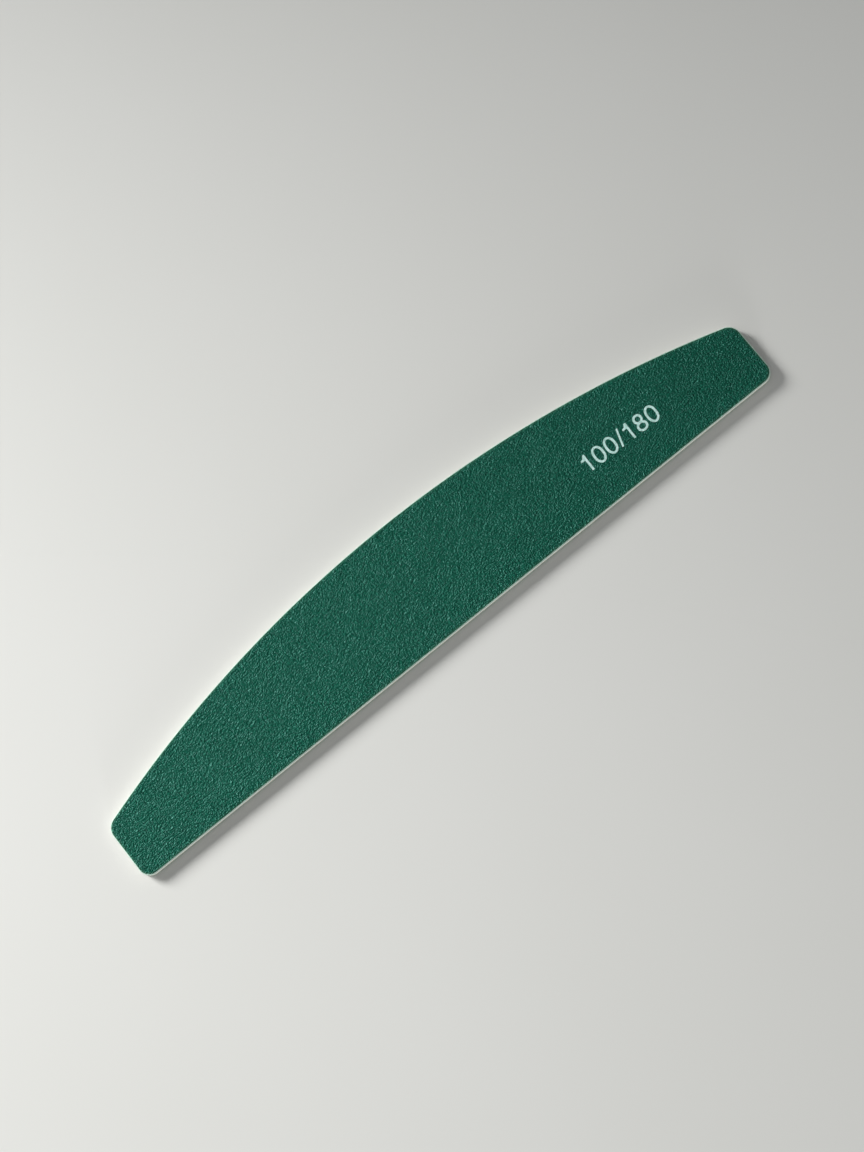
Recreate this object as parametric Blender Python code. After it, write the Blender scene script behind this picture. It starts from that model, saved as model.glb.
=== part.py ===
"""Half-moon nail file: a thin laminated board with one straight and one arched long edge.

The board lies flat on its fine face. X runs along the straight edge, Y runs across the
board from the straight edge to the arch, and Z runs up through the layers. The origin is
at the middle of the board's length and width, on the surface that it lies on. All
lengths are in metres.
"""

import math

import bpy

# Outline of the board, as cut
BOARD_LENGTH = 0.178
BOARD_WIDTH = 0.029
END_WIDTH = 0.0148
EDGE_CORNER_RADIUS = 0.0028
ARCH_CORNER_RADIUS = 0.0032

# Thickness of each layer, from the fine face at the bottom to the coarse face on top
REAR_GRIT_THICKNESS = 0.00012
REAR_PAPER_THICKNESS = 0.0002
REAR_ADHESIVE_THICKNESS = 0.0001
CORE_THICKNESS = 0.0015
FRONT_ADHESIVE_THICKNESS = 0.0001
FRONT_PAPER_THICKNESS = 0.0002
FRONT_GRIT_THICKNESS = 0.0002

# How far each layer stops short of the cut edge
GRIT_SETBACK = 0.0002
ADHESIVE_SETBACK = 0.00005
FLUSH_SETBACK = 0.0

# Straight runs that make up each round stretch of the outline
ARCH_STEPS = 48
CORNER_STEPS = 8

# Layers from the bottom up: name, thickness, setback, finish
LAYERS = (
    ("rear_grit_coat", REAR_GRIT_THICKNESS, GRIT_SETBACK, "fine_grit"),
    ("rear_backing_paper", REAR_PAPER_THICKNESS, FLUSH_SETBACK, "backing_paper"),
    ("rear_adhesive_film", REAR_ADHESIVE_THICKNESS, ADHESIVE_SETBACK, "adhesive"),
    ("core_board", CORE_THICKNESS, FLUSH_SETBACK, "core_plastic"),
    ("front_adhesive_film", FRONT_ADHESIVE_THICKNESS, ADHESIVE_SETBACK, "adhesive"),
    ("front_backing_paper", FRONT_PAPER_THICKNESS, FLUSH_SETBACK, "backing_paper"),
    ("front_grit_coat", FRONT_GRIT_THICKNESS, GRIT_SETBACK, "coarse_grit"),
)

# Finishes: base colour, roughness, metallic
FINISHES = {
    "fine_grit": ((0.012, 0.080, 0.052, 1.0), 0.78, 0.0),
    "coarse_grit": ((0.016, 0.098, 0.066, 1.0), 0.72, 0.0),
    "backing_paper": ((0.56, 0.68, 0.60, 1.0), 0.85, 0.0),
    "adhesive": ((0.48, 0.42, 0.30, 1.0), 0.45, 0.0),
    "core_plastic": ((0.62, 0.60, 0.54, 1.0), 0.55, 0.0),
}


def arc_points(centre, radius, start, end, steps):
    """Points along a round stretch, both ends included, with the angles in radians."""
    points = []
    for step in range(steps + 1):
        angle = start + (end - start) * step / steps
        x = centre[0] + radius * math.cos(angle)
        y = centre[1] + radius * math.sin(angle)
        points.append((x, y))
    return points


def board_outline(setback):
    """The half-moon outline, counter-clockwise, drawn in from the cut edge by setback.

    One arc makes the arch and one arc rounds each corner. The straight edge and the two
    ends are the straight runs that are left between the arcs.
    """
    half_length = BOARD_LENGTH / 2
    half_width = BOARD_WIDTH / 2
    rise = BOARD_WIDTH - END_WIDTH

    # The arch passes through both end corners and rises between them
    arch_radius = (half_length ** 2 + rise ** 2) / (2 * rise)
    arch_centre = (0, half_width - arch_radius)

    # Each arch corner is round and touches its end and the inside of the arch
    arch_corner_x = half_length - ARCH_CORNER_RADIUS
    arch_corner_reach = arch_radius - ARCH_CORNER_RADIUS
    arch_corner_lift = math.sqrt(arch_corner_reach ** 2 - arch_corner_x ** 2)
    arch_corner_y = arch_centre[1] + arch_corner_lift
    arch_start = math.atan2(arch_corner_lift, arch_corner_x)

    edge_corner_x = half_length - EDGE_CORNER_RADIUS
    edge_corner_y = EDGE_CORNER_RADIUS - half_width

    # Angles run counter-clockwise from +X, which is 0
    half_turn = math.pi
    quarter_turn = half_turn / 2
    arch_end = half_turn - arch_start

    edge_corner = EDGE_CORNER_RADIUS - setback
    arch_corner = ARCH_CORNER_RADIUS - setback
    points = arc_points((edge_corner_x, edge_corner_y), edge_corner, -quarter_turn, 0, CORNER_STEPS)
    points += arc_points((arch_corner_x, arch_corner_y), arch_corner, 0, arch_start, CORNER_STEPS)
    arch = arc_points(arch_centre, arch_radius - setback, arch_start, arch_end, ARCH_STEPS)
    points += arch[1:-1]
    points += arc_points((-arch_corner_x, arch_corner_y), arch_corner, arch_end, half_turn, CORNER_STEPS)
    last_turn = half_turn + quarter_turn
    points += arc_points((-edge_corner_x, edge_corner_y), edge_corner, half_turn, last_turn, CORNER_STEPS)
    return points


def make_finish(name, finish):
    """A Principled material with the finish's colour, roughness and metallic value."""
    colour, roughness, metallic = FINISHES[finish]
    material = bpy.data.materials.new(name)
    material.use_nodes = True
    shader = material.node_tree.nodes["Principled BSDF"]
    shader.inputs["Base Color"].default_value = colour
    shader.inputs["Roughness"].default_value = roughness
    shader.inputs["Metallic"].default_value = metallic
    material.diffuse_color = colour
    return material


def make_layer(name, thickness, setback, bottom, collection):
    """One flat layer: the outline as a filled curve, extruded to the layer's thickness."""
    points = board_outline(setback)
    curve = bpy.data.curves.new(name, "CURVE")
    curve.dimensions = "2D"
    curve.fill_mode = "BOTH"
    curve.extrude = thickness / 2

    spline = curve.splines.new("POLY")
    spline.points.add(len(points) - 1)
    for point, (x, y) in zip(spline.points, points):
        point.co = (x, y, 0, 1)
    spline.use_cyclic_u = True

    layer = bpy.data.objects.new(name, curve)
    layer.location = (0, 0, bottom + thickness / 2)
    collection.objects.link(layer)
    return layer


def clear_scene():
    """Remove what the scene holds."""
    for leftover in list(bpy.data.objects):
        bpy.data.objects.remove(leftover, do_unlink=True)


def build():
    """Stack the layers from the surface up, each one lying face to face on the last."""
    clear_scene()
    collection = bpy.data.collections.new("nail_file")
    bpy.context.scene.collection.children.link(collection)

    bottom = 0
    for name, thickness, setback, finish in LAYERS:
        layer = make_layer(name, thickness, setback, bottom, collection)
        layer.data.materials.append(make_finish(name, finish))
        bottom += thickness


build()
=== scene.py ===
"""Half-moon nail file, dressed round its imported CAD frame.

The board lies on its fine face. X runs along the straight edge, Y runs from the straight
edge to the arch, and Z runs up through the layers. Every length is in metres.
"""

import logging
import math
from collections.abc import Callable, Iterator
from contextlib import contextmanager
from dataclasses import dataclass, field
from enum import Enum
from functools import cached_property
from typing import Any

import bmesh
import bpy
from mathutils import Matrix, Vector


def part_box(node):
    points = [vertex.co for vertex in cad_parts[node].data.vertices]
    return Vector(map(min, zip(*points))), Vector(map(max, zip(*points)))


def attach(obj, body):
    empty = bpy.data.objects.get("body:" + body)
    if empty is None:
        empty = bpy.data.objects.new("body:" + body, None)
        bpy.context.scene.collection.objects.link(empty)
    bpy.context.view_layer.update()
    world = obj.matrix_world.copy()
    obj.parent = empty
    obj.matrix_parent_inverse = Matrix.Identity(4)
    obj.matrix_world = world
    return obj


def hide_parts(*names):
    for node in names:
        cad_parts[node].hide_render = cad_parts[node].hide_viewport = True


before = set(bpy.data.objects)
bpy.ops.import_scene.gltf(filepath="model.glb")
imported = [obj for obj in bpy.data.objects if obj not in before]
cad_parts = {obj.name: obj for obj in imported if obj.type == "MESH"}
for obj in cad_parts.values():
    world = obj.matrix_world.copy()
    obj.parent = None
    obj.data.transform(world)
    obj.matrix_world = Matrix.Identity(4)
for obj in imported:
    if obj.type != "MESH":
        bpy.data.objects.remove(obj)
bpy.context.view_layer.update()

MM = 0.001
BODY = "root"
# A vertex nearer than this to a line or a level counts as lying on it
NEAR = 0.02 * MM
# Vertices of the cut ink nearer than this are one
WELD = 0.0005 * MM
# The outline grows from a small plane, at least this big, that is merged to one point
SEED = 0.1 * MM
# Past these angles between two faces the edge that they share stays sharp
CUT_CREASE = math.radians(50)
GRIT_CREASE = math.radians(75)
# How high a place of a coat stands, from its creases at 0 to its tips at 1
RELIEF_SHARE = "relief_share"
# How much a place of a coat belongs to its rolled rim
RIM_SHARE = "rim_share"
# The sockets of a Mix node, by number because it has several of each name
MIX_SHARE = 0
LOW_VALUE = 2
HIGH_VALUE = 3
LOW_COLOUR = 6
HIGH_COLOUR = 7
MIXED_COLOUR = 2
# Nearly all values of a noise lie between the first and the last of these
NOISE_LOW = 0.3
NOISE_MIDDLE = 0.5
NOISE_HIGH = 0.7

log = logging.getLogger("nail_file")


class Side(Enum):
    """A side of the board: the coarse front that shows, or the fine rear that it lies on."""

    FRONT = "front"
    REAR = "rear"

    @property
    def outward(self) -> int:
        """Which way along Z the side looks: 1 is up and -1 is down."""
        return 1 if self is Side.FRONT else -1


class Pick(Enum):
    """What a selection is made of."""

    VERTICES = (True, False, False)
    EDGES = (False, True, False)
    FACES = (False, False, True)


# Modelling by operator


def start_piece(name: str, add: Callable[..., Any], **settings: Any) -> bpy.types.Object:
    """Add a primitive, with nothing else selected, and name it.

    Args:
        name: the name of the new object and of its mesh.
        add: the operator that adds the primitive.
        settings: the primitive's size and place.

    Returns:
        The new object.
    """
    bpy.ops.object.select_all(action="DESELECT")
    add(**settings)
    piece = bpy.context.object
    piece.name = piece.data.name = name
    return piece


def copy_piece(model: bpy.types.Object, name: str) -> bpy.types.Object:
    """Copy a model with its own mesh, and without the model's place in the frame.

    Args:
        model: the object to copy.
        name: the name of the copy and of its mesh.

    Returns:
        The copy.
    """
    piece = model.copy()
    piece.data = model.data.copy()
    piece.name = piece.data.name = name
    piece.parent = None
    for key in list(piece.keys()):
        del piece[key]
    bpy.context.scene.collection.objects.link(piece)
    return piece


def only(piece: bpy.types.Object) -> None:
    """Make a piece the active and the only selected object.

    Args:
        piece: the object.
    """
    bpy.ops.object.select_all(action="DESELECT")
    piece.select_set(True)
    bpy.context.view_layer.objects.active = piece


@contextmanager
def editing(piece: bpy.types.Object, pick: Pick = Pick.VERTICES) -> Iterator[None]:
    """Hold a piece open in edit mode, with all of it selected at first.

    Args:
        piece: the mesh object to edit.
        pick: whether vertices, edges or faces are selected.

    Returns:
        A context that leaves edit mode when it ends.
    """
    only(piece)
    bpy.ops.object.mode_set(mode="EDIT")
    bpy.context.tool_settings.mesh_select_mode = pick.value
    bpy.ops.mesh.select_all(action="SELECT")
    yield
    bpy.ops.object.mode_set(mode="OBJECT")


def pick_vertices(piece: bpy.types.Object, test: Callable[[Vector], bool]) -> None:
    """Select the vertices of the open piece by their place.

    Args:
        piece: the mesh object, in edit mode with vertices picked.
        test: tells whether the vertex at a place is wanted.
    """
    bpy.ops.mesh.select_all(action="DESELECT")
    mesh = bmesh.from_edit_mesh(piece.data)
    for vertex in mesh.verts:
        vertex.select = test(vertex.co)
    mesh.select_flush_mode()
    bmesh.update_edit_mesh(piece.data)


def extrude(offset: tuple[float, float, float], steps: int = 1) -> None:
    """Extrude the selection in equal steps.

    Args:
        offset: how far the last step ends from the start.
        steps: the number of steps.
    """
    step = tuple(part / steps for part in offset)
    for _ in range(steps):
        bpy.ops.mesh.extrude_region_move(TRANSFORM_OT_translate={"value": step})


def turn(centre: tuple[float, float], angle: float, steps: int) -> None:
    """Spin the selection counter-clockwise about an upright axis through a centre."""
    place = (centre[0], centre[1], 0)
    bpy.ops.mesh.spin(steps=steps, angle=-angle, center=place, axis=(0, 0, 1))


def flatten(level: float) -> None:
    """Bring the selection to one level."""
    bpy.ops.transform.resize(value=(1, 1, 0), center_override=(0, 0, level))


def shift(piece: bpy.types.Object, offset: tuple[float, float, float]) -> None:
    """Move the mesh of a piece, with its object left at the origin."""
    with editing(piece):
        bpy.ops.transform.translate(value=offset)


def modify(piece: bpy.types.Object, kind: str, **settings: Any) -> None:
    """Add a modifier to a piece and apply it.

    Args:
        piece: the mesh object.
        kind: Blender's name for the modifier.
        settings: the modifier's own settings.
    """
    only(piece)
    modifier = piece.modifiers.new(kind.lower(), kind)
    for name, value in settings.items():
        setattr(modifier, name, value)
    bpy.ops.object.modifier_apply(modifier=modifier.name)


def weigh(piece: bpy.types.Object, name: str, weight: Callable[[Vector], float]) -> str:
    """Weigh the vertices of a piece by their place.

    Args:
        piece: the mesh object.
        name: the name of the new vertex group.
        weight: gives the weight, from 0 to 1, at a place.

    Returns:
        The name of the vertex group.
    """
    group = piece.vertex_groups.new(name=name)
    for vertex in piece.data.vertices:
        amount = weight(vertex.co)
        if amount > 0:
            group.add([vertex.index], min(amount, 1.0), "REPLACE")
    return name


def cloud_texture(name: str, size: float, depth: int) -> bpy.types.Texture:
    """Make the cloudy texture that a Displace modifier reads.

    Args:
        name: what the texture draws.
        size: the size of its clouds.
        depth: how many finer layers it has.

    Returns:
        The texture.
    """
    texture = bpy.data.textures.new(name, "CLOUDS")
    texture.noise_scale = size
    texture.noise_depth = depth
    return texture


def finish_normals(piece: bpy.types.Object, crease: float) -> None:
    """Point all faces outwards and shade them smooth up to a crease.

    Args:
        piece: the finished mesh object.
        crease: the angle past which the edge between two faces stays sharp.
    """
    with editing(piece):
        bpy.ops.mesh.normals_make_consistent(inside=False)
    bpy.ops.object.shade_smooth_by_angle(angle=crease)


# Materials by node


def linear(colour: str) -> tuple[float, float, float, float]:
    """Turn a colour to linear light.

    Args:
        colour: the colour in sRGB, as a hash and six hex digits.

    Returns:
        Red, green and blue in linear light, and full alpha.
    """
    shares = [int(colour[place : place + 2], 16) / 255 for place in (1, 3, 5)]
    light = [s / 12.92 if s <= 0.04045 else ((s + 0.055) / 1.055) ** 2.4 for s in shares]
    return (light[0], light[1], light[2], 1.0)


def per_metre(size: float) -> float:
    """The texture scale that makes one cell of a pattern this big."""
    return 1 / size


def add_node(
    tree: bpy.types.NodeTree,
    kind: str,
    inputs: dict[str | int, Any] | None = None,
    **settings: Any,
) -> bpy.types.Node:
    """Add a node with its settings, and set or link its inputs.

    Args:
        tree: the node tree.
        kind: Blender's name for the node, without ShaderNode.
        inputs: a value or an output socket for each input, by its name or number.
        settings: the node's own settings.

    Returns:
        The node.
    """
    node = tree.nodes.new("ShaderNode" + kind)
    for name, value in settings.items():
        setattr(node, name, value)
    for name, value in (inputs or {}).items():
        if isinstance(value, bpy.types.NodeSocket):
            tree.links.new(value, node.inputs[name])
        else:
            node.inputs[name].default_value = value
    return node


def shade(
    tree: bpy.types.NodeTree,
    colour: Any,
    noise: bpy.types.Node,
    brightness: tuple[float, float],
) -> bpy.types.NodeSocket:
    """Darken and lighten a colour by a noise.

    Args:
        tree: the node tree.
        colour: a linear colour, or the output socket of one.
        noise: the noise that the brightness follows.
        brightness: the brightness in the noise's hollows and on its crests.

    Returns:
        The output socket of the shaded colour.
    """
    value = add_node(
        tree,
        "MapRange",
        {
            "Value": noise.outputs[0],
            "From Min": NOISE_LOW,
            "From Max": NOISE_HIGH,
            "To Min": brightness[0],
            "To Max": brightness[1],
        },
    )
    shaded = add_node(tree, "HueSaturation", {"Value": value.outputs[0], "Color": colour})
    return shaded.outputs[0]


@dataclass(frozen=True)
class Finish:
    """What every finish has: a name, a shine and the light-bending of its surface."""

    name: str
    roughness: float
    ior: float

    def start(self) -> tuple[bpy.types.Material, bpy.types.Node, bpy.types.NodeSocket]:
        """Make the bare material.

        Returns:
            The material, its shader node and the piece's own coordinates.
        """
        material = bpy.data.materials.new(self.name)
        material.use_nodes = True
        shader = material.node_tree.nodes["Principled BSDF"]
        shader.inputs["Roughness"].default_value = self.roughness
        shader.inputs["IOR"].default_value = self.ior
        place = add_node(material.node_tree, "TexCoord").outputs["Object"]
        return material, shader, place

    def material(self) -> bpy.types.Material:
        """Build the material, which each finish does in its own way."""
        raise NotImplementedError

    def cover(self, piece: bpy.types.Object) -> None:
        """Give a piece this finish and no other."""
        piece.data.materials.clear()
        piece.data.materials.append(self.material())


@dataclass(frozen=True)
class GritGrade:
    """One grade of grit: how its grains, its wrinkled resin and its rolled rim measure."""

    number: int
    roughness: float
    grain: float
    grain_height: float
    wrinkle: float
    wrinkle_height: float
    relief_height: float
    relief_reach: float
    mean_depth: float
    rim_width: float
    rim_drop: float


@dataclass(frozen=True)
class ResinBondedGrit(Finish):
    """Ceramic grit bonded in green phenolic resin and sprayed with a size coat.

    The resin shrinks into a fine wrinkled skin over the grains. Its crests catch thin
    mint glints from the tinted shine, and are lightened further as a painted highlight.
    The creases are painted darker green as painted shade, and the colour drifts where
    resin pooled. On the rolled rim the grit is pressed flatter, and all round it the
    colour is painted lighter and greyer as a painted highlight.
    """

    grade: GritGrade
    # Painted shade in the creases and a painted highlight on the tips, mixed by height
    crease_painted_shade_colour: str = "#02392C"
    tip_painted_highlight_colour: str = "#0D5C47"
    # A lighter, greyer colour all round the rolled rim: a painted highlight
    rim_painted_highlight_colour: str = "#305E46"
    specular: float = 0.36
    # The shine of the grit comes back through a skin of green resin
    tint: tuple[float, float, float, float] = (0.35, 1.0, 0.86, 1.0)
    pool: float = 7 * MM
    pool_brightness: tuple[float, float] = (0.96, 1.04)
    # The wrinkles run along the board, the way its paper was drawn
    stretch: tuple[float, float, float] = (0.42, 1.0, 1.0)

    def material(self) -> bpy.types.Material:
        """Build the material.

        Returns:
            The material.
        """
        material, shader, place = self.start()
        tree = material.node_tree
        shader.inputs["Specular IOR Level"].default_value = self.specular
        shader.inputs["Specular Tint"].default_value = self.tint
        tree.links.new(self.colour(tree, place), shader.inputs["Base Color"])
        bump = add_node(
            tree, "Bump", {"Height": self.relief(tree, place), "Distance": 1.0, "Strength": 1.0}
        )
        tree.links.new(bump.outputs[0], shader.inputs["Normal"])
        return material

    def colour(
        self, tree: bpy.types.NodeTree, place: bpy.types.NodeSocket
    ) -> bpy.types.NodeSocket:
        """Colour the resin by its height, its rim and its pools.

        Args:
            tree: the node tree.
            place: the piece's own coordinates.

        Returns:
            The output socket of the colour.
        """
        # By height the creases are darkened as painted shade and the tips lightened as a painted
        # highlight
        share = add_node(tree, "Attribute", attribute_name=RELIEF_SHARE)
        depth = add_node(
            tree,
            "Mix",
            {
                MIX_SHARE: share.outputs["Fac"],
                LOW_COLOUR: linear(self.crease_painted_shade_colour),
                HIGH_COLOUR: linear(self.tip_painted_highlight_colour),
            },
            data_type="RGBA",
        )
        # The rolled rim is lightened all round as a painted highlight
        rim = add_node(tree, "Attribute", attribute_name=RIM_SHARE)
        rim_highlighted = add_node(
            tree,
            "Mix",
            {
                MIX_SHARE: rim.outputs["Fac"],
                LOW_COLOUR: depth.outputs[MIXED_COLOUR],
                HIGH_COLOUR: linear(self.rim_painted_highlight_colour),
            },
            data_type="RGBA",
        )
        pools = add_node(
            tree, "TexNoise", {"Vector": place, "Scale": per_metre(self.pool), "Detail": 3.0}
        )
        return shade(tree, rim_highlighted.outputs[MIXED_COLOUR], pools, self.pool_brightness)

    def relief(
        self, tree: bpy.types.NodeTree, place: bpy.types.NodeSocket
    ) -> bpy.types.NodeSocket:
        """Raise the grains, and crease the resin over them into sharp wrinkles.

        Args:
            tree: the node tree.
            place: the piece's own coordinates.

        Returns:
            The output socket of the height, in metres.
        """
        grade = self.grade
        grains = add_node(
            tree, "TexNoise", {"Vector": place, "Scale": per_metre(grade.grain), "Detail": 0.0}
        )
        raised = add_node(
            tree, "Math", {0: grains.outputs[0], 1: grade.grain_height}, operation="MULTIPLY"
        )
        drawn = add_node(tree, "Mapping", {"Vector": place, "Scale": self.stretch})
        wrinkles = add_node(
            tree,
            "TexNoise",
            {"Vector": drawn.outputs[0], "Scale": per_metre(grade.wrinkle), "Detail": 0.0},
        )
        fold = add_node(
            tree, "Math", {0: wrinkles.outputs[0], 1: NOISE_MIDDLE}, operation="SUBTRACT"
        )
        crest = add_node(tree, "Math", {0: fold.outputs[0]}, operation="ABSOLUTE")
        height = add_node(
            tree,
            "Math",
            {0: crest.outputs[0], 1: -grade.wrinkle_height, 2: raised.outputs[0]},
            operation="MULTIPLY_ADD",
        )
        return height.outputs[0]


@dataclass(frozen=True)
class Mottle:
    """A pattern of small spots.

    Low and high are the noise values at which a finish reaches its low and its high
    colour. Depth and strength say how far the spots stand out.
    """

    size: float
    detail: float
    breakup: float
    low: float
    high: float
    depth: float
    strength: float


@dataclass(frozen=True)
class MottledFinish(Finish):
    """A finish whose colour and relief follow the same spots."""

    low_colour: str
    high_colour: str
    spots: Mottle

    def material(self) -> bpy.types.Material:
        """Build the material.

        Returns:
            The material.
        """
        material, shader, place = self.start()
        tree = material.node_tree
        spots = self.spots
        noise = add_node(
            tree,
            "TexNoise",
            {
                "Vector": place,
                "Scale": per_metre(spots.size),
                "Detail": spots.detail,
                "Roughness": spots.breakup,
            },
        )
        share = add_node(
            tree,
            "MapRange",
            {"Value": noise.outputs[0], "From Min": spots.low, "From Max": spots.high},
        )
        mixed = add_node(
            tree,
            "Mix",
            {
                MIX_SHARE: share.outputs[0],
                LOW_COLOUR: linear(self.low_colour),
                HIGH_COLOUR: linear(self.high_colour),
            },
            data_type="RGBA",
        )
        tree.links.new(mixed.outputs[MIXED_COLOUR], shader.inputs["Base Color"])
        bump = add_node(
            tree,
            "Bump",
            {"Height": noise.outputs[0], "Distance": spots.depth, "Strength": spots.strength},
        )
        tree.links.new(bump.outputs[0], shader.inputs["Normal"])
        return material


@dataclass(frozen=True)
class LatexPaper(MottledFinish):
    """Latex-saturated backing paper, pulped green in the mass and cut through by the die.

    The cut leaves a pale mint edge with short torn fibres, matt and a little uneven.
    """

    roughness: float = 0.7
    ior: float = 1.45
    low_colour: str = "#A8C6B6"
    high_colour: str = "#C6DED2"
    spots: Mottle = Mottle(
        size=0.35 * MM,
        detail=4.0,
        breakup=0.65,
        low=0.35,
        high=0.7,
        depth=0.03 * MM,
        strength=0.8,
    )


@dataclass(frozen=True)
class AcrylicAdhesive(MottledFinish):
    """Double-sided acrylic film, seen on edge as a thin amber line that has taken up dust."""

    roughness: float = 0.35
    ior: float = 1.47
    low_colour: str = "#B9A77E"
    high_colour: str = "#8E8672"
    spots: Mottle = Mottle(
        size=0.6 * MM,
        detail=3.0,
        breakup=0.5,
        low=0.45,
        high=0.7,
        depth=0.02 * MM,
        strength=0.6,
    )


@dataclass(frozen=True)
class ScreenInk(MottledFinish):
    """Pale mint ink squeezed through a screen on to the grit.

    It fills the creases and lies matt and nearly solid, and is thinner in small spots.
    """

    roughness: float = 0.55
    ior: float = 1.5
    low_colour: str = "#A1CEC3"
    high_colour: str = "#C8E9E3"
    spots: Mottle = Mottle(
        size=0.5 * MM,
        detail=3.0,
        breakup=0.5,
        low=0.32,
        high=0.6,
        depth=0.02 * MM,
        strength=0.6,
    )


@dataclass(frozen=True)
class DieCutPolystyrene(Finish):
    """High-impact polystyrene sheet, sheared by a steel-rule die.

    The blade burnishes the upper part of the wall pale and smooth with upright drag
    lines. Below it the sheet breaks, and the broken zone is rough and matt; its dark
    grey-brown is partly the broken plastic's own colour and partly painted shade along
    the foot of the wall.
    """

    roughness: float = 0.5
    ior: float = 1.55
    burnished_colour: str = "#ECEEE8"
    burnished_brightness: tuple[float, float] = (0.93, 1.04)
    # Partly the broken plastic's own grey and partly painted shade along the foot of the wall
    broken_and_painted_shade_colour: str = "#8A7F78"
    broken_brightness: tuple[float, float] = (0.8, 1.15)
    broken_roughness: float = 0.85
    # The break wanders, so its level is that of the height plus the wander
    break_level: float = 0.82 * MM
    break_blend: float = 0.12 * MM
    wander: float = 1.6 * MM
    wander_height: float = 0.35 * MM
    drag: float = 0.25 * MM
    drag_stretch: tuple[float, float, float] = (1.0, 1.0, 0.06)
    crumb: float = 0.3 * MM
    depth: float = 0.04 * MM
    strength: float = 0.8

    def material(self) -> bpy.types.Material:
        """Build the material.

        Returns:
            The material.
        """
        material, shader, place = self.start()
        tree = material.node_tree
        share = self.burnished_share(tree, place)
        drawn = add_node(tree, "Mapping", {"Vector": place, "Scale": self.drag_stretch})
        drag = add_node(
            tree,
            "TexNoise",
            {"Vector": drawn.outputs[0], "Scale": per_metre(self.drag), "Detail": 3.0},
        )
        crumbs = add_node(
            tree,
            "TexNoise",
            {
                "Vector": place,
                "Scale": per_metre(self.crumb),
                "Detail": 5.0,
                "Roughness": 0.7,
            },
        )
        mixed = add_node(
            tree,
            "Mix",
            {
                MIX_SHARE: share,
                # The broken zone below is darkened, partly as painted shade along the foot of the
                # wall
                LOW_COLOUR: shade(
                    tree, linear(self.broken_and_painted_shade_colour), crumbs, self.broken_brightness
                ),
                HIGH_COLOUR: shade(
                    tree, linear(self.burnished_colour), drag, self.burnished_brightness
                ),
            },
            data_type="RGBA",
        )
        tree.links.new(mixed.outputs[MIXED_COLOUR], shader.inputs["Base Color"])
        shine = add_node(
            tree,
            "MapRange",
            {"Value": share, "To Min": self.broken_roughness, "To Max": self.roughness},
        )
        tree.links.new(shine.outputs[0], shader.inputs["Roughness"])
        relief = add_node(
            tree,
            "Mix",
            {MIX_SHARE: share, LOW_VALUE: crumbs.outputs[0], HIGH_VALUE: drag.outputs[0]},
            data_type="FLOAT",
        )
        bump = add_node(
            tree,
            "Bump",
            {"Height": relief.outputs[0], "Distance": self.depth, "Strength": self.strength},
        )
        tree.links.new(bump.outputs[0], shader.inputs["Normal"])
        return material

    def burnished_share(
        self, tree: bpy.types.NodeTree, place: bpy.types.NodeSocket
    ) -> bpy.types.NodeSocket:
        """Part the wall at a wandering level.

        Args:
            tree: the node tree.
            place: the piece's own coordinates.

        Returns:
            The output socket of the share, 0 where the wall is broken and 1 where it is
            burnished.
        """
        wander = add_node(
            tree, "TexNoise", {"Vector": place, "Scale": per_metre(self.wander), "Detail": 4.0}
        )
        height = add_node(tree, "SeparateXYZ", {0: place}).outputs["Z"]
        lift = add_node(
            tree,
            "Math",
            {0: wander.outputs[0], 1: self.wander_height, 2: height},
            operation="MULTIPLY_ADD",
        )
        share = add_node(
            tree,
            "MapRange",
            {
                "Value": lift.outputs[0],
                "From Min": self.break_level,
                "From Max": self.break_level + self.break_blend,
            },
            interpolation_type="SMOOTHSTEP",
        )
        return share.outputs[0]


@dataclass(frozen=True)
class MattePaint(Finish):
    """Roller-painted studio board: matt, pale and faintly uneven."""

    roughness: float = 0.9
    ior: float = 1.45
    shade_colour: str = "#D4D4CF"
    colour: str = "#D8D8D4"
    cloud: float = 90 * MM

    def material(self) -> bpy.types.Material:
        """Build the material.

        Returns:
            The material.
        """
        material, shader, place = self.start()
        tree = material.node_tree
        cloud = add_node(
            tree, "TexNoise", {"Vector": place, "Scale": per_metre(self.cloud), "Detail": 2.0}
        )
        mixed = add_node(
            tree,
            "Mix",
            {
                MIX_SHARE: cloud.outputs[0],
                LOW_COLOUR: linear(self.shade_colour),
                HIGH_COLOUR: linear(self.colour),
            },
            data_type="RGBA",
        )
        tree.links.new(mixed.outputs[MIXED_COLOUR], shader.inputs["Base Color"])
        return material


# The die's outline, which every layer shares


@dataclass(frozen=True)
class OutlineSteps:
    """How finely the outline is drawn: edges along the board, across an end and per corner."""

    along: int
    across: int
    edge_corner: int
    arch_corner: int


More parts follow.
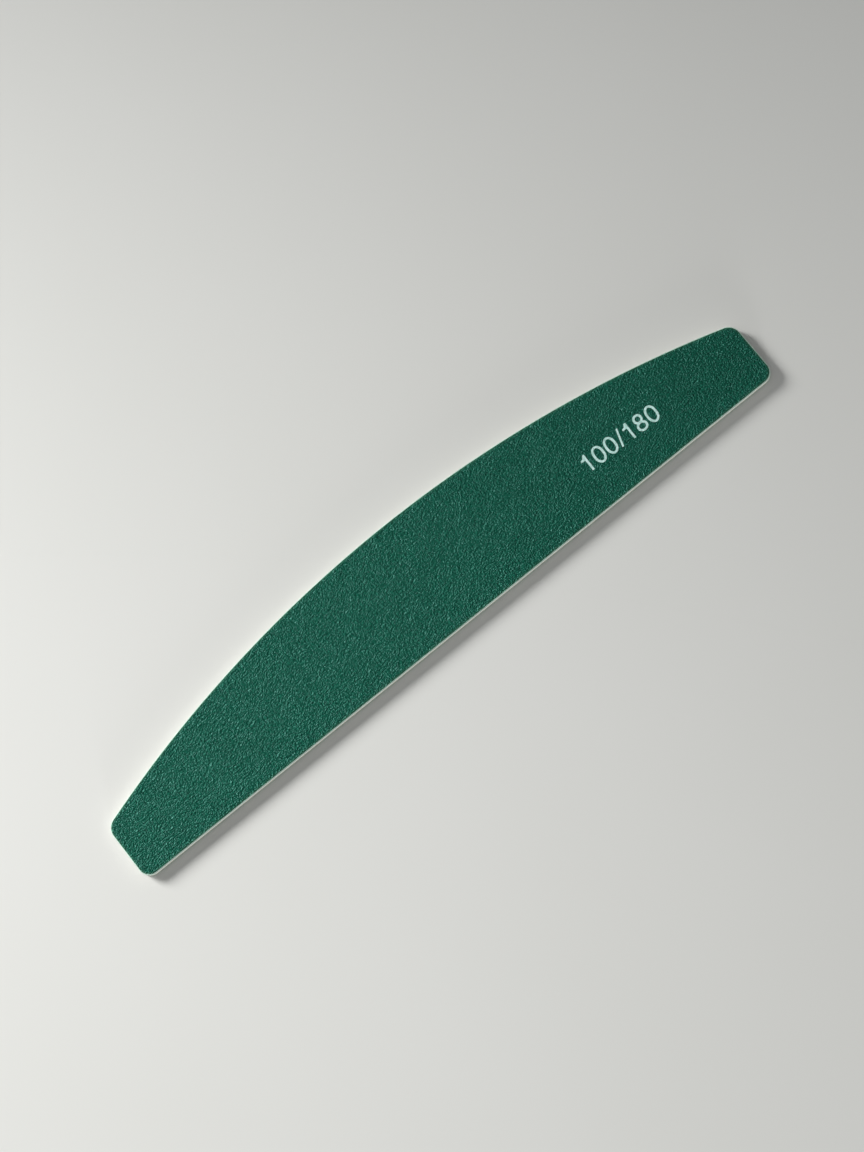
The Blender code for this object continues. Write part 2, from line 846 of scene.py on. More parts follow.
@dataclass(frozen=True)
class DieOutline:
    """The half-moon shape of the cutting die."""

    length: float
    width: float
    end_width: float = 14.8 * MM
    edge_corner: float = 2.8 * MM
    arch_corner: float = 3.2 * MM

    @property
    def half_length(self) -> float:
        """From the middle to an end."""
        return self.length / 2

    @property
    def edge_y(self) -> float:
        """Where the straight edge lies."""
        return -self.width / 2

    @property
    def arch_radius(self) -> float:
        """The radius of the arch, which passes through both end corners."""
        rise = self.width - self.end_width
        return (self.half_length**2 + rise**2) / (2 * rise)

    @property
    def arch_centre_y(self) -> float:
        """Where the centre of the arch lies, far below the straight edge."""
        return self.width / 2 - self.arch_radius

    @property
    def arch_corner_centre(self) -> tuple[float, float]:
        """The centre of the corner between an end and the arch.

        Returns:
            Its place along and across the board.
        """
        x = self.half_length - self.arch_corner
        lift = math.sqrt((self.arch_radius - self.arch_corner) ** 2 - x**2)
        return (x, self.arch_centre_y + lift)

    @property
    def edge_corner_centre(self) -> tuple[float, float]:
        """The centre of the corner between an end and the straight edge."""
        return (self.half_length - self.edge_corner, self.edge_y + self.edge_corner)

    @property
    def arch_start(self) -> float:
        """The direction, from the centre of the arch, in which the arch starts."""
        x, y = self.arch_corner_centre
        return math.atan2(y - self.arch_centre_y, x)

    def depth(self, x: float, y: float) -> float:
        """How far a place lies inside the cut edge.

        Args:
            x: the place along the board.
            y: the place across the board.

        Returns:
            The distance to the nearest point of the outline.
        """
        x = abs(x)
        corner_x, corner_y = self.edge_corner_centre
        if x > corner_x and y < corner_y:
            return self.edge_corner - math.hypot(x - corner_x, y - corner_y)
        corner_x, corner_y = self.arch_corner_centre
        heading = math.atan2(y - corner_y, x - corner_x)
        if x > corner_x and 0 < heading < self.arch_start:
            return self.arch_corner - math.hypot(x - corner_x, y - corner_y)
        to_arch = self.arch_radius - math.hypot(x, y - self.arch_centre_y)
        return min(y - self.edge_y, self.half_length - x, to_arch)

    def draw(
        self, name: str, setback: float, level: float, steps: OutlineSteps
    ) -> bpy.types.Object:
        """Draw the outline as one closed loop of edges.

        Half of it is drawn from the middle of the straight edge to the top of the arch,
        by extruding and spinning one point, and the other half is its mirror image.

        Args:
            name: the name of the new object.
            setback: how far inside the cut edge the loop runs.
            level: the height that it lies at.
            steps: how finely it is drawn.

        Returns:
            The object, at the origin.
        """
        piece = start_piece(
            name,
            bpy.ops.mesh.primitive_plane_add,
            size=setback + SEED,
            location=(0, self.edge_y + setback, level),
        )
        bpy.ops.object.transform_apply(location=True, rotation=False, scale=False)
        corner = self.edge_corner_centre
        arch_corner = self.arch_corner_centre
        with editing(piece):
            bpy.ops.mesh.merge(type="CENTER")
            extrude((corner[0], 0, 0), (steps.along - steps.edge_corner) // 2)
            turn(corner, math.pi / 2, steps.edge_corner)
            side = steps.across - (steps.edge_corner + steps.arch_corner) // 2
            extrude((0, arch_corner[1] - corner[1], 0), side)
            turn(arch_corner, self.arch_start, steps.arch_corner)
            reach = math.pi / 2 - self.arch_start
            turn((0, self.arch_centre_y), reach, (steps.along - steps.arch_corner) // 2)
        modify(piece, "MIRROR", use_axis=(True, False, False), merge_threshold=NEAR)
        return piece

    def fill(self, piece: bpy.types.Object, setback: float, steps: OutlineSteps) -> None:
        """Fill a drawn loop with a grid of four-sided faces.

        Args:
            piece: the loop that draw made.
            setback: the setback that it was drawn with.
            steps: the steps that it was drawn with.
        """
        corner = self.edge_corner_centre
        reach = (self.edge_corner - setback) * math.sqrt(0.5)
        with editing(piece):
            mesh = bmesh.from_edit_mesh(piece.data)
            place = Vector((-corner[0] - reach, corner[1] - reach, mesh.verts[:][0].co.z))
            first = min(mesh.verts, key=lambda vertex: (vertex.co - place).length)
            mesh.select_history.clear()
            mesh.select_history.add(first)
            bmesh.update_edit_mesh(piece.data)
            bpy.ops.mesh.fill_grid(span=steps.across, offset=0, use_interp_simple=False)


# The layers


@dataclass
class Layer:
    """A layer of the laminate: the CAD node that it stands for, its outline and its finish."""

    node: str
    outline: DieOutline
    finish: Finish
    setback: float
    steps: OutlineSteps

    @property
    def name(self) -> str:
        """The name of the dressed piece."""
        return self.node + "_dressed"

    @cached_property
    def levels(self) -> tuple[float, float]:
        """The heights of the underside and the upper side, which the CAD node gives."""
        low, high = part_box(self.node)
        return (low.z, high.z)

    def dress(self, piece: bpy.types.Object) -> bpy.types.Object:
        """Give a finished mesh its material and its place in the frame.

        Args:
            piece: the finished mesh object.

        Returns:
            The same object.
        """
        self.finish.cover(piece)
        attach(piece, BODY)
        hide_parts(self.node)
        return piece


@dataclass(frozen=True)
class WallRow:
    """One row of a cut wall: its share of the height, how far it is drawn in, how rough it is."""

    height: float
    inset: float
    roughness: float


def wall(*rows: tuple[float, float, float]) -> tuple[WallRow, ...]:
    """The rows of a wall from the bottom up, with each inset given in millimetres."""
    return tuple(WallRow(height, inset * MM, rough) for height, inset, rough in rows)


@dataclass
class DieCutSheet(Layer):
    """A flat sheet whose visible part is its die-cut wall."""

    rows: tuple[WallRow, ...]
    crumb: float
    crumb_depth: float
    # What the narrow border inside each rim leaves of the length and the width
    border: tuple[float, float, float] = (0.99, 0.95, 1)

    def row_value(self, height: float, read: Callable[[WallRow], float]) -> float:
        """Read a value of the row at a height, with the rows in between blended.

        Args:
            height: the height above the frame's floor.
            read: picks the value from a row.

        Returns:
            The value.
        """
        low, high = self.levels
        share = (height - low) / (high - low)
        for below, above in zip(self.rows, self.rows[1:]):
            if share <= above.height:
                blend = (share - below.height) / (above.height - below.height)
                return read(below) + (read(above) - read(below)) * max(blend, 0.0)
        return read(self.rows[-1])

    def build(self) -> bpy.types.Object:
        """Draw the wall, shape it, close it and dress it.

        Returns:
            The finished piece.
        """
        low, high = self.levels
        piece = self.outline.draw(self.name, self.setback, low, self.steps)
        with editing(piece):
            for below, above in zip(self.rows, self.rows[1:]):
                extrude((0, 0, (above.height - below.height) * (high - low)))
            bpy.ops.mesh.select_all(action="SELECT")
            bpy.ops.mesh.normals_make_consistent(inside=False)
        self.shape_wall(piece)
        self.close(piece)
        finish_normals(piece, CUT_CREASE)
        return self.dress(piece)

    def shape_wall(self, piece: bpy.types.Object) -> None:
        """Draw the rows in and roughen them.

        Args:
            piece: the plain wall.
        """
        deepest = max(row.inset for row in self.rows)
        drawn_in = weigh(
            piece,
            "drawn_in",
            lambda place: self.row_value(place.z, lambda row: row.inset) / deepest,
        )
        modify(
            piece,
            "DISPLACE",
            direction="NORMAL",
            strength=-deepest,
            mid_level=0.0,
            vertex_group=drawn_in,
        )
        rough = weigh(
            piece, "rough", lambda place: self.row_value(place.z, lambda row: row.roughness)
        )
        modify(
            piece,
            "DISPLACE",
            direction="NORMAL",
            strength=-self.crumb_depth,
            mid_level=0.0,
            vertex_group=rough,
            texture=cloud_texture(self.node + "_crumbs", self.crumb, 2),
            texture_coords="LOCAL",
        )

    def close(self, piece: bpy.types.Object) -> None:
        """Level both rims of the wall, give each a narrow border and close it.

        Args:
            piece: the shaped wall.
        """
        for level in self.levels:
            with editing(piece):
                pick_vertices(piece, lambda place: abs(place.z - level) < NEAR)
                flatten(level)
                extrude((0, 0, 0))
                bpy.ops.transform.resize(value=self.border, center_override=(0, 0, level))
                bpy.ops.mesh.edge_face_add()


@dataclass
class GritCoat(Layer):
    """A coat of grit: a finely divided sheet, rolled over at its rim and raised by its grains."""

    side: Side
    grade: GritGrade
    clump: float = 0.3 * MM
    # How much of its relief the rim loses where the die pressed it
    rim_calm: float = 0.85
    resin_bed: float = 0.008 * MM

    @property
    def flat_level(self) -> float:
        """The level of the face that lies on the paper."""
        return self.levels[0] if self.side is Side.FRONT else self.levels[1]

    @property
    def mean_level(self) -> float:
        """The mean level of the grit."""
        rough = self.levels[1] if self.side is Side.FRONT else self.levels[0]
        return rough - self.side.outward * self.grade.mean_depth

    def build(self) -> bpy.types.Object:
        """Fill the outline, raise the grit, close the coat and dress it.

        Returns:
            The finished piece.
        """
        piece = self.outline.draw(self.name, self.setback, self.mean_level, self.steps)
        self.outline.fill(piece, self.setback, self.steps)
        rim = weigh(piece, "rim", self.rim_share)
        field = weigh(piece, "field", lambda place: 1 - self.rim_calm * self.rim_share(place))
        self.raise_grit(piece, field)
        # These shares drive the grit's painted crease shade, tip highlight and rim highlight
        self.mark(piece, RELIEF_SHARE, self.relief_share)
        self.mark(piece, RIM_SHARE, lambda place: math.sqrt(self.rim_share(place)))
        self.roll_rim(piece, rim)
        self.bed_creases(piece)
        self.close(piece)
        finish_normals(piece, GRIT_CREASE)
        return self.dress(piece)

    def rim_share(self, place: Vector) -> float:
        """How much a place belongs to the rolled rim.

        Args:
            place: the place on the coat.

        Returns:
            1 at the rim, falling to 0 in the open field.
        """
        inside = self.outline.depth(place.x, place.y) - self.setback
        share = 1 - min(max(inside / self.grade.rim_width, 0.0), 1.0)
        return share**2

    def relief_share(self, place: Vector) -> float:
        """How high a place stands: 0 in the creases, 1 on the tips."""
        rise = self.side.outward * (place.z - self.mean_level)
        return 0.5 + 0.5 * rise / self.grade.relief_reach

    def raise_grit(self, piece: bpy.types.Object, field: str) -> None:
        """Raise the grains, less so on the rolled rim.

        Args:
            piece: the filled outline.
            field: the vertex group that says how much a place is raised.
        """
        modify(
            piece,
            "DISPLACE",
            direction="Z",
            strength=self.side.outward * self.grade.relief_height,
            mid_level=0.5,
            vertex_group=field,
            texture=cloud_texture(self.node + "_grains", self.clump, 1),
            texture_coords="LOCAL",
        )

    def mark(
        self, piece: bpy.types.Object, name: str, share: Callable[[Vector], float]
    ) -> None:
        """Note a share for the finish at each vertex, before the rim is rolled over.

        Args:
            piece: the raised coat.
            name: the name that the finish reads.
            share: gives the share at a place.
        """
        marks = piece.data.attributes.new(name, "FLOAT", "POINT")
        for vertex, mark in zip(piece.data.vertices, marks.data):
            mark.value = share(vertex.co)

    def roll_rim(self, piece: bpy.types.Object, rim: str) -> None:
        """Roll the rim over, as the die presses it down.

        Args:
            piece: the raised coat.
            rim: the vertex group that says how much a place is pressed down.
        """
        modify(
            piece,
            "DISPLACE",
            direction="Z",
            strength=-self.side.outward * self.grade.rim_drop,
            mid_level=0.0,
            vertex_group=rim,
        )

    def bed_creases(self, piece: bpy.types.Object) -> None:
        """Raise the deepest creases to the resin that covers the paper.

        Args:
            piece: the raised and rolled coat.
        """
        outward = self.side.outward
        bed = self.flat_level + outward * self.resin_bed
        with editing(piece):
            pick_vertices(piece, lambda place: outward * (place.z - bed) < 0)
            flatten(bed)

    def close(self, piece: bpy.types.Object) -> None:
        """Bring the rim down to the paper and close the flat face.

        Args:
            piece: the raised and rolled coat.
        """
        with editing(piece, Pick.EDGES):
            bpy.ops.mesh.select_all(action="DESELECT")
            bpy.ops.mesh.select_non_manifold()
            extrude((0, 0, self.flat_level - self.mean_level))
            flatten(self.flat_level)
            bpy.ops.mesh.edge_face_add()


# The printed number


@dataclass(frozen=True)
class Bowl:
    """A closed bowl of a figure, its height and place as shares of the figure's height."""

    width: float
    height_share: float
    straight_share: float
    lift_share: float


@dataclass(frozen=True)
class StemAndFlag:
    """The one: where its stem ends on the right, and how its flag leaves the head and falls."""

    stem_right: float = 0.80 * MM
    flag_depth: float = 1.27 * MM
    neck: float = 0.34 * MM
    neck_fall: float = 0.66 * MM
    tip: float = 0.66 * MM
    tip_fall: float = 0.20 * MM
    shoulder: float = 0.06 * MM


@dataclass
class PrintedNumber:
    """The two grit numbers, cut from a skin of ink that follows the grit.

    Each figure is a flat shape raised to an upright prism. The ink is a copy of the
    coat's own surface, eased and lifted, and the prisms cut it to shape.
    """

    coat: bpy.types.Object
    finish: Finish
    top_level: float
    text: str = "100/180"
    centre: tuple[float, float] = (53.51 * MM, -3.80 * MM)
    heading: float = math.radians(-1.25)
    places: tuple[float, ...] = tuple(
        place * MM for place in (-9.30, -5.80, -2.55, 0.07, 2.25, 5.67, 8.89)
    )
    height: float = 4.10 * MM
    # Round figures and the slash stand this much taller
    overshoot: float = 0.1 * MM
    half_figure: float = 1.4 * MM
    stroke: float = 0.53 * MM
    bowl_stroke: float = 0.55 * MM
    # The line of a bowl is a little thinner at its top and bottom
    crown_share: float = 0.9
    nought_bowl: Bowl = Bowl(
        width=2.74 * MM, height_share=1.0, straight_share=0.16, lift_share=0.0
    )
    eight_lower: Bowl = Bowl(
        width=2.62 * MM, height_share=0.56, straight_share=0.08, lift_share=-0.22
    )
    eight_upper: Bowl = Bowl(
        width=2.32 * MM, height_share=0.54, straight_share=0.08, lift_share=0.23
    )
    one_shape: StemAndFlag = StemAndFlag()
    slash_stroke_share: float = 0.87
    slash_lean: float = 0.6 * MM
    slash_lift: float = 0.09 * MM
    film: float = 0.022 * MM
    skin_thickness: float = 0.06 * MM
    margin: float = 0.8 * MM
    prism_foot: float = 0.3 * MM
    prism_height: float = 0.4 * MM
    ring_points: int = 48

    @property
    def round_height(self) -> float:
        """The height of a round figure."""
        return self.height + self.overshoot

    def raise_prism(self, piece: bpy.types.Object) -> bpy.types.Object:
        """Raise a flat shape to a prism that passes right through the ink.

        Args:
            piece: the flat shape.

        Returns:
            The same object.
        """
        with editing(piece, Pick.FACES):
            extrude((0, 0, self.prism_height))
            bpy.ops.mesh.select_all(action="SELECT")
            bpy.ops.mesh.normals_make_consistent(inside=False)
        return piece

    def ring(self, name: str, bowl: Bowl) -> bpy.types.Object:
        """Model a closed bowl as a prism at its place in the figure.

        Args:
            name: the name of the new object.
            bowl: the bowl's sizes.

        Returns:
            The bowl.
        """
        height = self.round_height * bowl.height_share
        half_straight = height * bowl.straight_share / 2
        piece = start_piece(
            name,
            bpy.ops.mesh.primitive_circle_add,
            vertices=self.ring_points,
            radius=0.5,
            fill_type="NOTHING",
        )
        with editing(piece):
            round_size = (bowl.width, height * (1 - bowl.straight_share), 1)
            bpy.ops.transform.resize(value=round_size)
            pick_vertices(piece, lambda place: place.y > NEAR)
            bpy.ops.transform.translate(value=(0, half_straight, 0))
            pick_vertices(piece, lambda place: place.y < -NEAR)
            bpy.ops.transform.translate(value=(0, -half_straight, 0))
            bpy.ops.mesh.select_all(action="SELECT")
            extrude((0, 0, 0))
            side_stroke = 2 * self.bowl_stroke
            crown_stroke = 2 * self.crown_share * self.bowl_stroke
            inner = (1 - side_stroke / bowl.width, 1 - crown_stroke / height, 1)
            bpy.ops.transform.resize(value=inner)
        shift(piece, (0, self.round_height * bowl.lift_share, 0))
        return self.raise_prism(piece)

    def nought(self) -> bpy.types.Object:
        """Model the nought: a narrow bowl with nearly straight sides."""
        return self.ring("nought", self.nought_bowl)

    def eight(self) -> bpy.types.Object:
        """Model the eight: a small bowl on a larger one, united where they cross.

        Returns:
            The eight as a prism.
        """
        lower = self.ring("eight", self.eight_lower)
        upper = self.ring("eight_top", self.eight_upper)
        modify(lower, "BOOLEAN", operation="UNION", solver="EXACT", object=upper)
        bpy.data.meshes.remove(upper.data)
        return lower

    def bar(self, name: str, width: float, height: float, place: float) -> bpy.types.Object:
        """Model an upright bar.

        Args:
            name: the name of the new object.
            width: the bar's width.
            height: the bar's height.
            place: where its middle stands.

        Returns:
            The bar as a flat shape.
        """
        piece = start_piece(name, bpy.ops.mesh.primitive_plane_add, size=1)
        with editing(piece):
            bpy.ops.transform.resize(value=(width, height, 1))
            bpy.ops.transform.translate(value=(place, 0, 0))
        return piece

    def one(self) -> bpy.types.Object:
        """Model the one: an upright stem with a short flag at its head.

        Returns:
            The one as a prism.
        """
        shape = self.one_shape
        head = self.height / 2
        low = head - shape.flag_depth
        left = shape.stem_right - self.stroke
        neck = left - shape.neck
        tip = neck - shape.tip
        piece = self.bar("one", self.stroke, self.height, (left + shape.stem_right) / 2)
        with editing(piece, Pick.FACES):
            bpy.ops.mesh.bisect(plane_co=(0, low, 0), plane_no=(0, 1, 0))
        with editing(piece):
            pick_vertices(piece, lambda place: place.x < left + NEAR and place.y > low - NEAR)
            extrude((-shape.neck, 0, 0))
            pick_vertices(piece, lambda place: place.x < neck + NEAR and place.y > low + NEAR)
            bpy.ops.transform.translate(value=(0, -shape.neck_fall, 0))
            pick_vertices(piece, lambda place: place.x < neck + NEAR)
            extrude((-shape.tip, 0, 0))
            pick_vertices(piece, lambda place: place.x < tip + NEAR and place.y > low + NEAR)
            bpy.ops.transform.translate(value=(0, -shape.tip_fall, 0))
            pick_vertices(
                piece, lambda place: abs(place.x - left) < NEAR and place.y > head - NEAR
            )
            bpy.ops.transform.translate(value=(shape.shoulder, 0, 0))
        return self.raise_prism(piece)

    def slash(self) -> bpy.types.Object:
        """Model the slash: a bar leant to the right and lifted a little.

        Returns:
            The slash as a prism.
        """
        width = self.stroke * self.slash_stroke_share
        piece = self.bar("slash", width, self.round_height, 0)
        with editing(piece):
            for end in (1, -1):
                pick_vertices(piece, lambda place: end * place.y > 0)
                bpy.ops.transform.translate(value=(end * self.slash_lean, self.slash_lift, 0))
        return self.raise_prism(piece)

    def cutter(self) -> bpy.types.Object:
        """Model each figure once, copy it to its places and join them all.

        Returns:
            The prisms of the whole number as one object.
        """
        makers = {"0": self.nought, "1": self.one, "8": self.eight, "/": self.slash}
        models = {figure: make() for figure, make in makers.items()}
        copies = []
        for figure, place in zip(self.text, self.places):
            copies.append(copy_piece(models[figure], "figure"))
            shift(copies[-1], (place, 0, 0))
        for model in models.values():
            bpy.data.meshes.remove(model.data)
        only(copies[0])
        for copy in copies:
            copy.select_set(True)
        bpy.ops.object.join()
        whole = bpy.context.object
        with editing(whole):
            bpy.ops.transform.rotate(
                value=-self.heading, orient_axis="Z", center_override=(0, 0, 0)
            )
        shift(whole, (self.centre[0], self.centre[1], self.top_level - self.prism_foot))
        return whole

    def skin(self) -> bpy.types.Object:
        """Lift a copy of the coat's surface round the number.

        Returns:
            A thin closed sheet that follows the grit.
        """
        reach_x = self.places[-1] + self.half_figure + self.margin
        reach_y = self.height / 2 + self.margin
        centre_x, centre_y = self.centre
        piece = copy_piece(self.coat, "printed_number")
        with editing(piece, Pick.FACES):
            mesh = bmesh.from_edit_mesh(piece.data)
            for face in mesh.faces:
                place = face.calc_center_median()
                near_x = abs(place.x - centre_x) < reach_x
                near_y = abs(place.y - centre_y) < reach_y
                # Only the coat's flat face has more than four sides
                face.select_set(not (near_x and near_y) or len(face.verts) > 4)
            bmesh.update_edit_mesh(piece.data)
            bpy.ops.mesh.delete(type="FACE")
            bpy.ops.mesh.select_all(action="SELECT")
            bpy.ops.mesh.subdivide(number_cuts=1, smoothness=0)
        modify(piece, "SMOOTH", factor=0.5, iterations=2)
        modify(piece, "DISPLACE", direction="Z", strength=self.film, mid_level=0.0)
        modify(piece, "SOLIDIFY", thickness=self.skin_thickness, offset=-1.0)
        return piece

    def build(self) -> bpy.types.Object:
        """Cut the number from the ink's skin and dress it.

        Returns:
            The finished piece.
        """
        cutter = self.cutter()
        piece = self.skin()
        modify(piece, "BOOLEAN", operation="INTERSECT", solver="EXACT", object=cutter)
        bpy.data.meshes.remove(cutter.data)
        with editing(piece):
            bpy.ops.mesh.remove_doubles(threshold=WELD)
            bpy.ops.mesh.dissolve_degenerate(threshold=WELD)
        finish_normals(piece, CUT_CREASE)
        self.finish.cover(piece)
        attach(piece, BODY)
        return piece


# The whole board

GRIT_STEPS = OutlineSteps(along=600, across=158, edge_corner=12, arch_corner=12)
WALL_STEPS = OutlineSteps(along=620, across=52, edge_corner=16, arch_corner=16)
GRIT_SETBACK = 0.2 * MM
ADHESIVE_SETBACK = 0.05 * MM

COARSE = GritGrade(
    number=100,
    roughness=0.35,
    grain=0.34 * MM,
    grain_height=0.34 * MM,
    wrinkle=0.45 * MM,
    wrinkle_height=0.46 * MM,
    relief_height=0.24 * MM,
    relief_reach=0.06 * MM,
    mean_depth=0.11 * MM,
    rim_width=0.5 * MM,
    rim_drop=0.082 * MM,
)
FINE = GritGrade(
    number=180,
    roughness=0.4,
    grain=0.24 * MM,
    grain_height=0.14 * MM,
    wrinkle=0.32 * MM,
    wrinkle_height=0.14 * MM,
    relief_height=0.1 * MM,
    relief_reach=0.04 * MM,
    mean_depth=0.055 * MM,
    rim_width=0.35 * MM,
    rim_drop=0.02 * MM,
)

# The die rolls the outer rim of a paper over
PAPER_WALL = wall(
    (0.0, 0.02, 0.4),
    (0.15, 0.0, 1.0),
    (0.35, 0.0, 1.0),
    (0.55, 0.02, 1.0),
    (0.75, 0.06, 0.8),
    (0.9, 0.12, 0.5),
    (1.0, 0.19, 0.1),
)
# An adhesive film is squeezed out a little at the middle
ADHESIVE_WALL = wall((0.0, 0.03, 0.0), (0.5, 0.0, 1.0), (1.0, 0.03, 0.0))
# The core is cut clean above and broken below
CORE_WALL = wall(
    (0.0, 0.09, 0.6),
    (0.06, 0.06, 1.0),
    (0.12, 0.05, 1.0),
    (0.18, 0.045, 1.0),
    (0.24, 0.04, 1.0),
    (0.3, 0.04, 1.0),
    (0.36, 0.035, 0.9),
    (0.42, 0.03, 0.7),
    (0.48, 0.01, 0.3),
    (0.56, 0.0, 0.1),
    (0.7, 0.0, 0.05),
    (0.85, 0.0, 0.05),
    (0.97, 0.0, 0.05),
    (1.0, 0.02, 0.0),
)


@dataclass
class NailFile:
    """The laminated board: two grit coats, two papers, two adhesive films and a core."""

    outline: DieOutline
    pieces: list[bpy.types.Object] = field(default_factory=list)

    def keep(self, piece: bpy.types.Object) -> bpy.types.Object:
        """Count a finished piece in and report it.

        Args:
            piece: the finished piece.

        Returns:
            The same piece.
        """
        self.pieces.append(piece)
        log.info("%s: %d faces", piece.name, len(piece.data.polygons))
        return piece

    def build(self) -> None:
        """Build the rear coat, the sheets and the front coat, and print the front."""
        self.keep(self.grit(Side.REAR, FINE).build())
        for side in (Side.REAR, Side.FRONT):
            self.keep(self.paper(side).build())
        for side in (Side.REAR, Side.FRONT):
            self.keep(self.adhesive(side).build())
        self.keep(self.core().build())
        coat = self.keep(self.grit(Side.FRONT, COARSE).build())
        top_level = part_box("front_grit_coat")[1].z
        self.keep(PrintedNumber(coat, ScreenInk("screen_ink"), top_level).build())

    def grit(self, side: Side, grade: GritGrade) -> GritCoat:
        """A coat of grit.

        Args:
            side: the side that it covers.
            grade: how coarse it is.

        Returns:
            The coat, not yet built.
        """
        name = f"resin_bonded_grit_{grade.number}"
        return GritCoat(
            node=side.value + "_grit_coat",
            outline=self.outline,
            finish=ResinBondedGrit(name, grade.roughness, 1.5, grade),
            setback=GRIT_SETBACK,
            steps=GRIT_STEPS,
            side=side,
            grade=grade,
        )

    def paper(self, side: Side) -> DieCutSheet:
        """A backing paper, which carries the grit.

        Args:
            side: the side that it lies on.

        Returns:
            The paper, not yet built.
        """
        rows = PAPER_WALL
        if side is Side.REAR:
            rows = tuple(WallRow(1 - row.height, row.inset, row.roughness) for row in rows[::-1])
        return DieCutSheet(
            node=side.value + "_backing_paper",
            outline=self.outline,
            finish=LatexPaper("latex_paper_" + side.value),
            setback=0.0,
            steps=WALL_STEPS,
            rows=rows,
            crumb=0.3 * MM,
            crumb_depth=0.02 * MM,
        )

    def adhesive(self, side: Side) -> DieCutSheet:
        """An adhesive film, which bonds a paper to the core.

        Args:
            side: the side that it lies on.

        Returns:
            The film, not yet built.
        """
        return DieCutSheet(
            node=side.value + "_adhesive_film",
            outline=self.outline,
            finish=AcrylicAdhesive("acrylic_film_" + side.value),
            setback=ADHESIVE_SETBACK,
            steps=WALL_STEPS,
            rows=ADHESIVE_WALL,
            crumb=0.5 * MM,
            crumb_depth=0.02 * MM,
        )

    def core(self) -> DieCutSheet:
        """The plastic core.

        Returns:
            The core, not yet built.
        """
        return DieCutSheet(
            node="core_board",
            outline=self.outline,
            finish=DieCutPolystyrene("die_cut_polystyrene"),
            setback=0.0,
            steps=WALL_STEPS,
            rows=CORE_WALL,
            crumb=0.25 * MM,
            crumb_depth=0.05 * MM,
        )


# The studio


@dataclass(frozen=True)
class Lamp:
    """What every lamp has: a name, the direction that it hangs in and its power."""

    name: str
    heading: tuple[float, float]
    height: float
    power: float

    def towards(self) -> Vector:
        """The direction from the board to the lamp."""
        flat = Vector((*self.heading, 0)).normalized() * math.cos(self.height)
        return flat + Vector((0, 0, math.sin(self.height)))

    def hang(self, light: bpy.types.Light, place: Vector, aim: Vector) -> None:
        """Hang the light at a place and point it.

        Args:
            light: the light, made and sized.
            place: where it hangs.
            aim: what it points at.
        """
        light.energy = self.power
        lamp = bpy.data.objects.new(self.name, light)
        lamp.location = place
        lamp.rotation_euler = (place - aim).to_track_quat("Z", "Y").to_euler()
        bpy.context.scene.collection.objects.link(lamp)


@dataclass(frozen=True)
class SoftLamp(Lamp):
    """A round soft lamp near the board."""

    distance: float
    aim: tuple[float, float, float]
    spread: float
    size: float

    def build(self) -> None:
        """Make the lamp and hang it."""
        light = bpy.data.lights.new(self.name, "AREA")
        light.shape = "DISK"
        light.size = self.size
        light.spread = self.spread
        self.hang(light, self.towards() * self.distance, Vector(self.aim))


@dataclass(frozen=True)
class DistantLamp(Lamp):
    """A lamp so far off that it lights everything alike, softened by its width in the sky."""

    width: float

    def build(self) -> None:
        """Make the lamp and hang it."""
        light = bpy.data.lights.new(self.name, "SUN")
        light.angle = self.width
        self.hang(light, self.towards(), Vector())


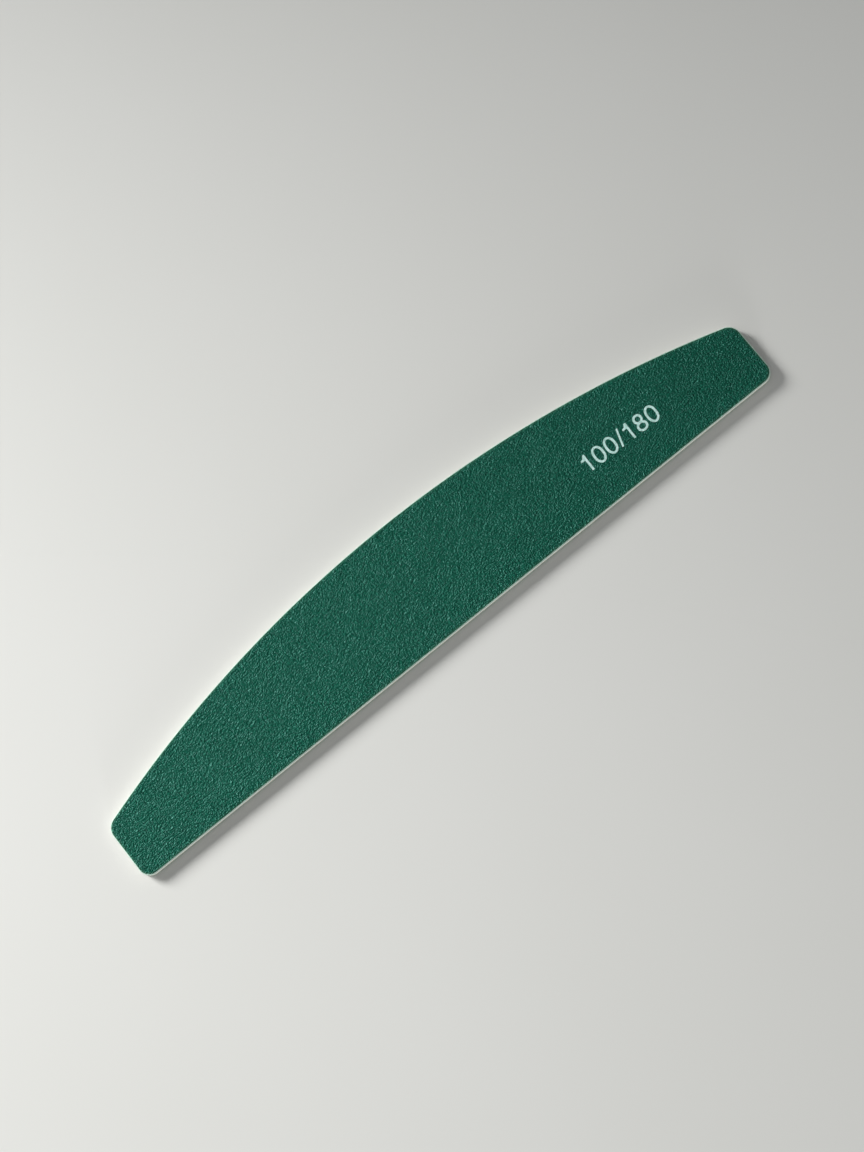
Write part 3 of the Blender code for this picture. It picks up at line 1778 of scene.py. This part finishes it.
@dataclass
class Studio:
    """A plain pale floor, a soft key lamp, a distant fill, a pale sky and the camera."""

    tilt: float = math.radians(12.0)
    roll: float = math.radians(38.857)
    lens: float = 100.0
    sensor_width: float = 36.0
    clip_start: float = 0.01
    clip_end: float = 50.0
    distance: float = 708.2 * MM
    aim: tuple[float, float, float] = (2.07 * MM, -1.40 * MM, 2.22 * MM)
    floor_size: float = 12
    floor_gap: float = 0.005 * MM
    key: SoftLamp = SoftLamp(
        name="key_light",
        heading=(-0.52, 0.85),
        height=math.radians(28.0),
        distance=900 * MM,
        aim=(-150 * MM, -60 * MM, 0),
        spread=math.radians(56.0),
        size=390 * MM,
        power=1.525,
    )
    # Stands low in front of the straight edge, and lifts the cut wall out of its shade
    fill: DistantLamp = DistantLamp(
        name="fill_light",
        heading=(-0.45, -0.89),
        height=math.radians(6.0),
        width=math.radians(10.0),
        power=1.1,
    )
    sky_colour: str = "#F4F6F8"
    sky_strength: float = 0.32

    def build(self) -> None:
        """Set the floor, the lights and the camera up."""
        self.floor()
        self.key.build()
        self.fill.build()
        self.sky()
        self.camera()

    def floor(self) -> None:
        """Lay a wide matt floor just under the board."""
        floor = start_piece(
            "studio_floor",
            bpy.ops.mesh.primitive_plane_add,
            size=self.floor_size,
            location=(0, 0, -self.floor_gap),
        )
        MattePaint("matte_paint_pale").cover(floor)

    def sky(self) -> None:
        """Fill the shadows from a pale sky."""
        world = bpy.data.worlds.new("pale_sky")
        world.use_nodes = True
        background = world.node_tree.nodes["Background"]
        background.inputs["Color"].default_value = linear(self.sky_colour)
        background.inputs["Strength"].default_value = self.sky_strength
        bpy.context.scene.world = world
        bpy.context.scene.view_settings.view_transform = "Standard"

    def camera(self) -> None:
        """Set the camera square to the photograph's view of the board."""
        back = Vector((0, -math.sin(self.tilt), math.cos(self.tilt)))
        along = Vector((1, 0, 0))
        across = back.cross(along)
        right = math.cos(self.roll) * along - math.sin(self.roll) * across
        upward = math.sin(self.roll) * along + math.cos(self.roll) * across
        data = bpy.data.cameras.new("photo_camera")
        data.lens = self.lens
        data.sensor_width = self.sensor_width
        data.clip_start = self.clip_start
        data.clip_end = self.clip_end
        camera = bpy.data.objects.new("photo_camera", data)
        place = Matrix((right, upward, back)).transposed().to_4x4()
        place.translation = Vector(self.aim) + back * self.distance
        camera.matrix_world = place
        bpy.context.scene.collection.objects.link(camera)
        bpy.context.scene.camera = camera


def main() -> None:
    """Build the board and the studio, and report each piece."""
    logging.basicConfig(level=logging.INFO, format="%(message)s")
    low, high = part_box("core_board")
    outline = DieOutline(length=high.x - low.x, width=high.y - low.y)
    board = NailFile(outline)
    board.build()
    Studio().build()
    log.info("%d pieces", len(board.pieces))


if __name__ == "__main__":
    main()
